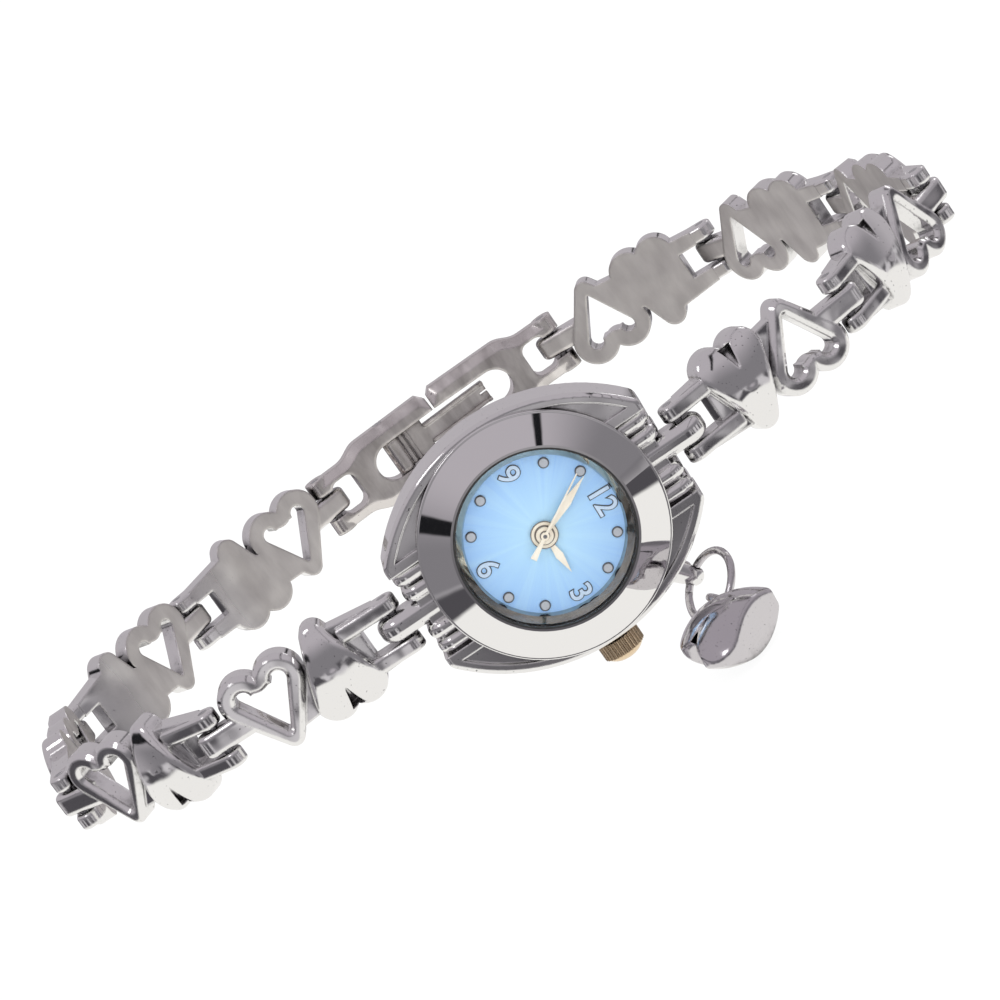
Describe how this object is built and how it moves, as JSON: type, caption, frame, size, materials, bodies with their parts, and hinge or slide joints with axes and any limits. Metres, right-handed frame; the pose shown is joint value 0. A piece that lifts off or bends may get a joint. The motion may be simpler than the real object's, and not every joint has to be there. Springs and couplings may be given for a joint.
{
  "type": "bracelet watch",
  "caption": "Round ladies' quartz bracelet watch with cast heart links, a hook clasp, a blue dial and a heart charm beside the crown.",
  "frame": {"origin": "centre of the case back's outer face, which lies on the wrist", "axes": "+X from the dial's centre towards 12 o'clock, +Y out of the case back towards the wrist, so the dial faces -Y, +Z towards 9 o'clock"},
  "size_m": [0.0798, 0.0599, 0.023],
  "materials": {
    "polished_metal": "polished",
    "pin_steel": "satin",
    "back_steel": "satin",
    "crystal": "clear",
    "seal_rubber": "matte",
    "flange_enamel": "satin",
    "dial_blue": "sunburst satin",
    "marker_silver": "polished",
    "gold_plate": "polished",
    "plate_brass": "satin",
    "coil_copper": "wound wire",
    "holder_plastic": "matte",
    "board_plastic": "semi-gloss"
  },
  "bodies": {
    "case": {"case_body": "polished_metal", "case_back": "back_steel", "case_back_gasket": "seal_rubber", "bezel": "polished_metal", "crystal": "crystal", "crystal_gasket": "seal_rubber", "flange_ring": "flange_enamel", "dial": "dial_blue", "hour_markers": "marker_silver", "movement_holder": "holder_plastic", "main_plate": "plate_brass", "battery": "pin_steel", "battery_clamp": "pin_steel", "coil": "coil_copper", "stator": "pin_steel", "circuit_board": "board_plastic", "charm_post": "polished_metal"},
    "hour_work": {"hour_hand": "marker_silver", "hour_wheel": "gold_plate"},
    "minute_work": {"minute_hand": "marker_silver", "cannon_pinion": "pin_steel"},
    "second_work": {"second_hand": "marker_silver", "second_arbor": "pin_steel"},
    "rotor": {"rotor": "pin_steel"},
    "stem_lever": {"setting_lever": "pin_steel"},
    "crown": {"crown": "gold_plate", "stem": "pin_steel", "crown_gasket": "seal_rubber"},
    "jump_ring": {"jump_ring": "polished_metal"},
    "heart_charm": {"heart_charm": "polished_metal"},
    "left_link_1": {"left_link_1": "polished_metal", "left_pin_1": "pin_steel"},
    "left_link_2": {"left_link_2": "polished_metal", "left_pin_2": "pin_steel"},
    "left_link_3": {"left_link_3": "polished_metal", "left_pin_3": "pin_steel"},
    "left_link_4": {"left_link_4": "polished_metal", "left_pin_4": "pin_steel"},
    "left_link_5": {"left_link_5": "polished_metal", "left_pin_5": "pin_steel"},
    "clasp_left": {"clasp_frame_left": "polished_metal", "left_pin_6": "pin_steel", "clasp_hook_pin": "pin_steel"},
    "right_link_1": {"right_link_1": "polished_metal", "right_pin_1": "pin_steel"},
    "right_link_2": {"right_link_2": "polished_metal", "right_pin_2": "pin_steel"},
    "right_link_3": {"right_link_3": "polished_metal", "right_pin_3": "pin_steel"},
    "right_link_4": {"right_link_4": "polished_metal", "right_pin_4": "pin_steel"},
    "right_link_5": {"right_link_5": "polished_metal", "right_pin_5": "pin_steel"},
    "clasp_right": {"clasp_frame_right": "polished_metal", "right_pin_6": "pin_steel"},
    "clasp_hook": {"clasp_hook": "polished_metal"}
  },
  "joints": [
    {"name": "left_hinge_1", "type": "hinge", "parent": "case", "child": "left_link_1", "pos_m": [-0.0122, -0.00225, 0], "axis": [0, 0, 1], "range_deg": [0, 5]},
    {"name": "left_hinge_2", "type": "hinge", "parent": "left_link_1", "child": "left_link_2", "pos_m": [-0.02754, -0.00091, 0], "axis": [0, 0, 1], "range_deg": [0, 30]},
    {"name": "left_hinge_3", "type": "hinge", "parent": "left_link_2", "child": "left_link_3", "pos_m": [-0.04016, 0.00793, 0], "axis": [0, 0, 1], "range_deg": [0, 56]},
    {"name": "left_hinge_4", "type": "hinge", "parent": "left_link_3", "child": "left_link_4", "pos_m": [-0.03989, 0.02332, 0], "axis": [0, 0, 1], "range_deg": [0, 43]},
    {"name": "left_hinge_5", "type": "hinge", "parent": "left_link_4", "child": "left_link_5", "pos_m": [-0.02919, 0.0344, 0], "axis": [0, 0, 1], "range_deg": [0, 19]},
    {"name": "left_hinge_6", "type": "hinge", "parent": "left_link_5", "child": "clasp_left", "pos_m": [-0.01547, 0.04139, 0], "axis": [0, 0, 1], "range_deg": [0, 14.78]},
    {"name": "right_hinge_1", "type": "hinge", "parent": "case", "child": "right_link_1", "pos_m": [0.0122, -0.00225, 0], "axis": [0, 0, -1], "range_deg": [0, 20]},
    {"name": "right_hinge_2", "type": "hinge", "parent": "right_link_1", "child": "right_link_2", "pos_m": [0.02667, 0.00302, 0], "axis": [0, 0, -1], "range_deg": [0, 29]},
    {"name": "right_hinge_3", "type": "hinge", "parent": "right_link_2", "child": "right_link_3", "pos_m": [0.03677, 0.01464, 0], "axis": [0, 0, -1], "range_deg": [0, 59]},
    {"name": "right_hinge_4", "type": "hinge", "parent": "right_link_3", "child": "right_link_4", "pos_m": [0.03202, 0.02929, 0], "axis": [0, 0, -1], "range_deg": [0, 23]},
    {"name": "right_hinge_5", "type": "hinge", "parent": "right_link_4", "child": "right_link_5", "pos_m": [0.02191, 0.04091, 0], "axis": [0, 0, -1], "range_deg": [0, 35]},
    {"name": "right_hinge_6", "type": "hinge", "parent": "right_link_5", "child": "clasp_right", "pos_m": [0.00697, 0.04463, 0], "axis": [0, 0, -1], "range_deg": [0, 18.22]},
    {"name": "hook_hinge", "type": "hinge", "parent": "clasp_left", "child": "clasp_hook", "pos_m": [-0.00872, 0.04285, 0], "axis": [0, 0, 1], "range_deg": [0, 100]},
    {"name": "ring_swing", "type": "hinge", "parent": "case", "child": "jump_ring", "pos_m": [0.00689, -0.00225, -0.00914], "axis": [-0.7967, -0.0698, -0.6003], "range_deg": [-20, 25]},
    {"name": "charm_swing", "type": "hinge", "parent": "jump_ring", "child": "heart_charm", "pos_m": [0.00785, -0.0069, -0.01076], "axis": [-0.8369, 0.1241, -0.5331], "range_deg": [-20, 20]},
    {"name": "crown_pull", "type": "slide", "parent": "case", "child": "stem_lever", "axis": [0, 0, -1], "range_m": [0, 0.0008]},
    {"name": "crown_turn", "type": "hinge", "parent": "stem_lever", "child": "crown", "pos_m": [0, -0.0026, -0.009], "axis": [0, 0, -1], "continuous": true},
    {"name": "minute_turn", "type": "hinge", "parent": "case", "child": "minute_work", "pos_m": [0, -0.00468, 0], "axis": [0, 1, 0], "continuous": true},
    {"name": "hour_turn", "type": "hinge", "parent": "case", "child": "hour_work", "pos_m": [0, -0.00444, 0], "axis": [0, 1, 0], "continuous": true},
    {"name": "second_turn", "type": "hinge", "parent": "case", "child": "second_work", "pos_m": [0, -0.00492, 0], "axis": [0, 1, 0], "continuous": true},
    {"name": "rotor_turn", "type": "hinge", "parent": "case", "child": "rotor", "pos_m": [0.0016, -0.0017, 0.0024], "axis": [0, 1, 0], "continuous": true}
  ],
  "couplings": [
    {"joint": "hour_turn", "follows": "minute_turn", "ratio": 0.083333}
  ]
}
